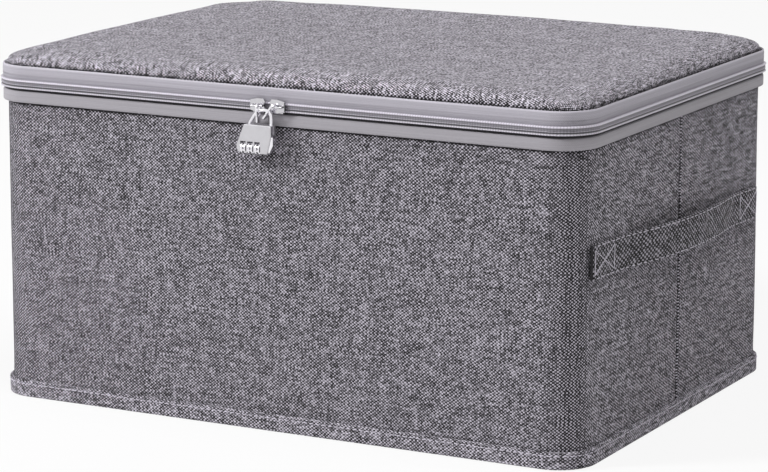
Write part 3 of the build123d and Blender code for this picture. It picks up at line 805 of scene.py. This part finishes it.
def swell(obj):
    """Blows the cloth up with pressure, held at its foot, and keeps how far each point moved, up to a cap."""
    before = [v.co.copy() for v in obj.data.vertices]
    pins = obj.vertex_groups.new(name="pins")
    pins.add([v.index for v in obj.data.vertices if v.co.z < PINNED_Z], 1.0, "REPLACE")
    cloth = obj.modifiers.new("cloth", "CLOTH")
    cloth.settings.vertex_group_mass = "pins"
    cloth.settings.quality = 5
    cloth.settings.use_pressure = True
    cloth.settings.uniform_pressure_force = PRESSURE
    cloth.settings.tension_stiffness = 20
    cloth.settings.compression_stiffness = 20
    cloth.settings.bending_stiffness = 1.0
    cloth.settings.effector_weights.gravity = 0.0
    cloth.point_cache.frame_end = SWELL_FRAMES
    for f in range(1, SWELL_FRAMES + 1):
        scene.frame_set(f)
    shaped = obj.evaluated_get(bpy.context.evaluated_depsgraph_get()).to_mesh()
    after = [v.co.copy() for v in shaped.vertices]
    obj.modifiers.remove(cloth)
    scene.frame_set(1)
    for v, a, b in zip(obj.data.vertices, before, after):
        move = b - a
        if move.length > TINY:
            v.co = a + move * (SWELL_CAP * math.tanh(move.length / SWELL_CAP) / move.length)
    obj.vertex_groups.clear()


def unroll(obj, top):
    """Lays the cloth out flat, so that its weave runs on over the rolled edge and down the side."""
    places = []
    for v in obj.data.vertices:
        inner = Vector((max(-RUN_X / 2, min(RUN_X / 2, v.co.x)), max(-RUN_Y / 2, min(RUN_Y / 2, v.co.y))))
        out = v.co.xy - inner
        down = out.normalized() * max(0.0, top - v.co.z) if out.length > 1e-6 else Vector((0, 0))
        places.append(v.co.xy + down)
    layer = obj.data.uv_layers.new(name="UVMap")
    for loop in obj.data.loops:
        layer.data[loop.index].uv = places[loop.vertex_index]


lid = lid_block()
apply(lid, "REMESH", mode="VOXEL", voxel_size=0.0035)
swell(lid)
for v in lid.data.vertices:
    if v.co.z > UNEVEN_Z:
        edge = max(abs(v.co.x) / LID_HALF_X, abs(v.co.y) / LID_HALF_Y)
        wave = noise.noise(Vector((v.co.x * UNEVEN_STEP, v.co.y * UNEVEN_STEP, 3)))
        v.co.z += UNEVEN * wave * min(1, (1.02 - edge) * 12)
    v.co.z = min(v.co.z, LID_MOST)
apply(lid, "SMOOTH", factor=0.5, iterations=3)
apply(lid, "SUBSURF", levels=1, render_levels=1)
unroll(lid, LID_TOP)
lid.data.polygons.foreach_set("use_smooth", [True] * len(lid.data.polygons))
dress(lid, lid_linen)
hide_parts("lid_cover", "lid_foam")
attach(lid, "lid")

lid_under = dress(sheet_panel("lid_under", 0.6, 182.5, 183.15), lining_grey)
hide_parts("lid_lining")
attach(lid_under, "lid")


# Side handle

# The strap's length, the length of each sewn end, its thickness, how far it bows out, and the radius of the
# bends that lead it out. The rest follows: half its free length, the angle it turns through, and the radius
# of the bend over its middle.
HANDLE_LONG, PATCH, STRAP_THICK = 0.228, 0.028, 0.0024
BOW, TURN_R = 0.0093 - STRAP_THICK, 0.150
FREE = HANDLE_LONG / 2 - PATCH
TURN = 2 * math.atan2(BOW, FREE)
OVER_R = FREE / math.sin(TURN) - TURN_R
# Its middle on the wall, and how far it hangs down towards the back
STRAP_Y, STRAP_Z, STRAP_TILT = -0.0047, 0.1052, math.radians(1.8)
# Across the strap, in mm: place and thickness. Then the points that start a face of its outer side, and the
# cloth's length from point to point elsewhere.
STRAP_LINE = [(-9.0, -1.05), (-9.35, -0.5), (-9.4, 0.3), (-9.0, 1.05), (-8.2, 1.2), (-7.4, 1.0), (-5, 1.12),
              (0, 1.18), (5, 1.12), (7.4, 1.0), (8.2, 1.2), (9.0, 1.05), (9.4, 0.3), (9.35, -0.5),
              (9.0, -1.05), (4, -1.15), (-4, -1.15)]
STRAP_FACE, STRAP_TURN_IN = range(2, 12), 0.0018
# Its stitching: the length of a stitch and its gap in the edge rows and in the crosses, how far the rows lie
# from the strap's middle and from its ends, half the height and the length of the box round a cross and how
# far it lies from the end, and how far the thread lies over the strap's middle
EDGE_STEP, CROSS_STEP, EDGE_ROW, EDGE_END = 0.0060, 0.0034, 0.0085, 0.003
BOX_HALF, BOX_LONG, BOX_END, THREAD_UP = 0.0066, 0.0245, 0.0015, 1.22 * MM


def strap_points(step=0.002):
    """Points down the strap's middle: along the wall, out from it, and the direction there."""
    points, at, heading = [], [-HANDLE_LONG / 2, 0.0], 0.0
    for length, turn in ((PATCH, 0), (TURN_R * TURN, TURN), (2 * OVER_R * TURN, -2 * TURN),
                         (TURN_R * TURN, TURN), (PATCH, 0)):
        n = max(2, round(length / step))
        for i in range(n):
            points.append((at[0], at[1], heading))
            heading += turn / n / 2
            at = [at[0] + math.cos(heading) * length / n, at[1] + math.sin(heading) * length / n]
            heading += turn / n / 2
    points.append((at[0], at[1], heading))
    return points


def strap_frame(a, out, heading, up, lift):
    """A point on the strap, its direction along, its outward normal, and the way up."""
    along_dir = Vector((0, math.cos(STRAP_TILT), -math.sin(STRAP_TILT)))
    up_dir = Vector((0, math.sin(STRAP_TILT), math.cos(STRAP_TILT)))
    out_dir = Vector((1, 0, 0))
    origin = Vector(((WIDE + STRAP_THICK) / 2, STRAP_Y, STRAP_Z))
    way = along_dir * math.cos(heading) + out_dir * math.sin(heading)
    normal = out_dir * math.cos(heading) - along_dir * math.sin(heading)
    return origin + along_dir * a + out_dir * out + up_dir * up + normal * lift, way, normal, up_dir


def on_strap(points, length, up):
    """The strap's frame where its stitches lie, at this length from its front end."""
    gone = 0.0
    for p, q in zip(points, points[1:]):
        part = math.dist(p[:2], q[:2])
        if gone + part >= length or q is points[-1]:
            t = (length - gone) / part
            return strap_frame(*[a + (b - a) * t for a, b in zip(p, q)], up, THREAD_UP)
        gone += part


def strap_marks(points, total):
    """Where the strap's stitches lie: a row along each edge, and a cross in a box at each end."""
    marks = []
    n = round((total - 2 * EDGE_END) / EDGE_STEP)
    for edge in (-EDGE_ROW, EDGE_ROW):
        for i in range(n):
            marks.append(on_strap(points, EDGE_END + (i + 0.5) * (total - 2 * EDGE_END) / n, edge)[:3])
    for start in (BOX_END, total - BOX_END - BOX_LONG):
        near, far = [[(end, half) for half in (-BOX_HALF, BOX_HALF)] for end in (start, start + BOX_LONG)]
        for a, b in ((near[0], near[1]), (far[0], far[1]), (near[0], far[1]), (far[0], near[1])):
            n = round(math.dist(a, b) / CROSS_STEP)
            for i in range(n):
                t = (i + 0.5) / n
                middle, way, normal, up = on_strap(points, a[0] + (b[0] - a[0]) * t, a[1] + (b[1] - a[1]) * t)
                marks.append((middle, (way * (b[0] - a[0]) + up * (b[1] - a[1])).normalized(), normal))
    return marks


def strap_mesh(name, points):
    """The strap, and its length along its bow."""
    verts, faces, uvs, rows = [], [], [], []
    run = 0.0
    for k, (a, out, heading) in enumerate(points):
        if k:
            run += math.dist(points[k - 1][:2], (a, out))
        rows.append((range(len(verts), len(verts) + len(STRAP_LINE)), run))
        thin = 0.35 if k in (0, len(points) - 1) else 0.0
        for w, t in STRAP_LINE:
            fuzz = 0.06 * noise.noise(Vector((a * 60, w * 0.4, 1)))
            lift = (t * (1 - thin) + (fuzz if t > 0.5 else 0)) * MM
            verts.append(strap_frame(a, out, heading, w * MM, lift)[0])
    m = len(STRAP_LINE)
    for (r0, u0), (r1, u1) in zip(rows, rows[1:]):
        for j in range(m):
            k = (j + 1) % m
            if j in STRAP_FACE:
                low, high = STRAP_LINE[j][0] * MM, STRAP_LINE[k][0] * MM
            else:
                low, high = j * STRAP_TURN_IN, (j + 1) * STRAP_TURN_IN
            faces.append((r0[j], r1[j], r1[k], r0[k]))
            uvs.append(((u0, low), (u1, low), (u1, high), (u0, high)))
    for row in (rows[0][0], rows[-1][0]):
        faces.append(tuple(row))
        uvs.append(tuple((0, 0) for _ in row))
    strap = make(name, verts, faces, uvs)
    bm = bmesh.new()
    bm.from_mesh(strap.data)
    bmesh.ops.recalc_face_normals(bm, faces=bm.faces)
    bm.to_mesh(strap.data)
    bm.free()
    return strap, run


middle_line = strap_points()
strap, strap_long = strap_mesh("strap_right", middle_line)
dress(strap, strap_linen)
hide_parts("right_handle")
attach(strap, "box")
sewing = dress(stitches("strap_right_stitches", strap_marks(middle_line, strap_long), 0.0036, 0.0005),
               thread_pale)
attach(sewing, "box")


# Boards and metal from the frame

dress_cad(board_grey, "front_board", "rear_board", "right_front_board", "right_rear_board",
          "left_front_board", "left_rear_board", "lid_board")
dress_cad(board_cloth, "base_board")
dress_cad(slider_metal, "left_slider", "right_slider")
dress_cad(steel, "left_pull", "right_pull", "lock_shackle", "lock_spindle")
dress_cad(zinc, "lock_body")
dress_cad(polished, "lock_button")
dress_cad(dial_metal, "lock_dial_1", "lock_dial_2", "lock_dial_3")

# The button's return spring: half its wire's thickness, its turns, the points round each turn and round the
# wire, and how far the button goes in
WIRE_R, TURNS, PER_TURN, WIRE_SIDES, BUTTON_TRAVEL = 0.00015, 4, 20, 8, 0.0011
low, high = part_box("lock_spring")
middle = [(a + b) / 2 for a, b in zip(low, high)]
spring_r = (high[2] - low[2]) / 2 - WIRE_R
spring_long = high[0] - low[0] - 2 * WIRE_R
rings = TURNS * PER_TURN + 1
verts = []
for i in range(rings):
    a = 2 * math.pi * i / PER_TURN
    out = Vector((0, math.cos(a), math.sin(a)))
    x = low[0] + WIRE_R + spring_long * i / (rings - 1)
    at = Vector((x, middle[1], middle[2])) + out * spring_r
    verts += [at + (out * math.cos(b) + Vector((1, 0, 0)) * math.sin(b)) * WIRE_R
              for b in [2 * math.pi * k / WIRE_SIDES for k in range(WIRE_SIDES)]]
faces = skin(rings, WIRE_SIDES) + [tuple(range(WIRE_SIDES - 1, -1, -1)),
                                   tuple(range(len(verts) - WIRE_SIDES, len(verts)))]
spring = dress(make("button_spring", verts, faces), steel)
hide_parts("lock_spring")
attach(spring, "lock_body")
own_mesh(spring)

# Numbers round the dials, with a 7 facing the front: the dials' radius and axis, the place of the first and
# the step to the next, and the numbers' size, thickness and added weight
DIAL_R, DIAL_Y, DIAL_Z = 0.0036, -0.132 - 0.00705, 0.1566
DIAL_X, DIAL_STEP, FRONT_DIGIT, PLACES = -0.0126, 0.00435, 7, 10
DIGIT_SIZE, DIGIT_THICK, DIGIT_BOLD = 0.0021, 0.00006, 0.00005


def digit_object(name, digit):
    text = bpy.data.curves.new(name, "FONT")
    text.body = str(digit)
    text.align_x, text.align_y = "CENTER", "CENTER"
    text.size = DIGIT_SIZE
    text.extrude = DIGIT_THICK
    text.offset = DIGIT_BOLD
    text.resolution_u = 3
    obj = bpy.data.objects.new(name, text)
    scene.collection.objects.link(obj)
    return obj


def dial_numbers(index):
    """The ten numbers of one dial, as one mesh."""
    upright = Matrix.Translation((0, -DIAL_R - 0.00001, 0)) @ Matrix.Rotation(math.pi / 2, 4, "X")
    middle = Matrix.Translation((DIAL_X + DIAL_STEP * index, DIAL_Y, DIAL_Z))
    parts = []
    for place in range(PLACES):
        obj = digit_object(f"digit_{index}_{place}", (FRONT_DIGIT + place) % PLACES)
        obj.matrix_world = middle @ Matrix.Rotation(place * 2 * math.pi / PLACES, 4, "X") @ upright
        parts.append(obj)
    bpy.context.view_layer.update()
    joined = bmesh.new()
    depsgraph = bpy.context.evaluated_depsgraph_get()
    for obj in parts:
        mesh = bpy.data.meshes.new_from_object(obj.evaluated_get(depsgraph))
        mesh.transform(obj.matrix_world)
        joined.from_mesh(mesh)
        bpy.data.meshes.remove(mesh)
    for obj in parts:
        bpy.data.objects.remove(obj)
    mesh = bpy.data.meshes.new(f"dial_numbers_{index + 1}")
    joined.to_mesh(mesh)
    joined.free()
    numbers = bpy.data.objects.new(f"dial_numbers_{index + 1}", mesh)
    scene.collection.objects.link(numbers)
    return numbers


for index in range(3):
    numbers = dress(dial_numbers(index), ink_black)
    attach(numbers, f"lock_dial_{index + 1}")


# Floor, light and camera

WHITE = (1, 1, 1, 1)
# The floor's half width and height, and the share of plain white in what is seen of it
FLOOR_HALF, FLOOR_Z, FLOOR_PLAIN = 6, -0.0003, 0.86

g = Graph("floor_white")
g.finish((0.86, 0.86, 0.87, 1), 0.9)
g.backdrop(g.shader.outputs[0], g.node("ShaderNodeEmission", Color=WHITE, Strength=1.0), "OUTPUT_MATERIAL",
           share=FLOOR_PLAIN)
corners = [(x * FLOOR_HALF, y * FLOOR_HALF, FLOOR_Z) for x, y in ((-1, -1), (1, -1), (1, 1), (-1, 1))]
floor = dress(make("floor", corners, [(0, 1, 2, 3)]), g.material)

world = bpy.data.worlds.new("studio")
scene.world = world
world.use_nodes = True
sky = Nodes(world.node_tree)
back = sky.first("BACKGROUND")
back.inputs["Color"].default_value = (1, 0.98, 0.955, 1)
back.inputs["Strength"].default_value = 0.34
sky.backdrop(back.outputs[0], sky.node("ShaderNodeBackground", Color=WHITE, Strength=1.0), "OUTPUT_WORLD")


def lamp(name, place, size, power, target=(0, 0, 0.1)):
    light = bpy.data.lights.new(name, "AREA")
    light.shape = "DISK"
    light.size = size
    light.energy = power
    obj = bpy.data.objects.new(name, light)
    scene.collection.objects.link(obj)
    obj.location = place
    obj.rotation_mode = "QUATERNION"
    obj.rotation_quaternion = (Vector(target) - Vector(place)).to_track_quat("-Z", "Y")


lamp("key", (-2.3, -2.05, 2.0), 0.7, 91)
lamp("top", (1.0, -0.4, 2.7), 1.6, 28)

# The photo's view: what the camera looks at, and from which direction and distance
LOOK_AT = Vector((-0.00277, 0.0, 0.0836))
AZIMUTH, ELEVATION, AWAY = math.radians(27.925), math.radians(11.732), 1.8553
camera = bpy.data.objects.new("camera", bpy.data.cameras.new("camera"))
scene.collection.objects.link(camera)
camera.data.sensor_width = 36.0
camera.data.lens = 151.45
camera.data.clip_start, camera.data.clip_end = 0.05, 50
back_way = Vector((math.sin(AZIMUTH) * math.cos(ELEVATION), -math.cos(AZIMUTH) * math.cos(ELEVATION),
                   math.sin(ELEVATION)))
camera.location = LOOK_AT + back_way * AWAY
camera.rotation_mode = "QUATERNION"
camera.rotation_quaternion = (-back_way).to_track_quat("-Z", "Y")
scene.camera = camera
scene.view_settings.view_transform = "Standard"
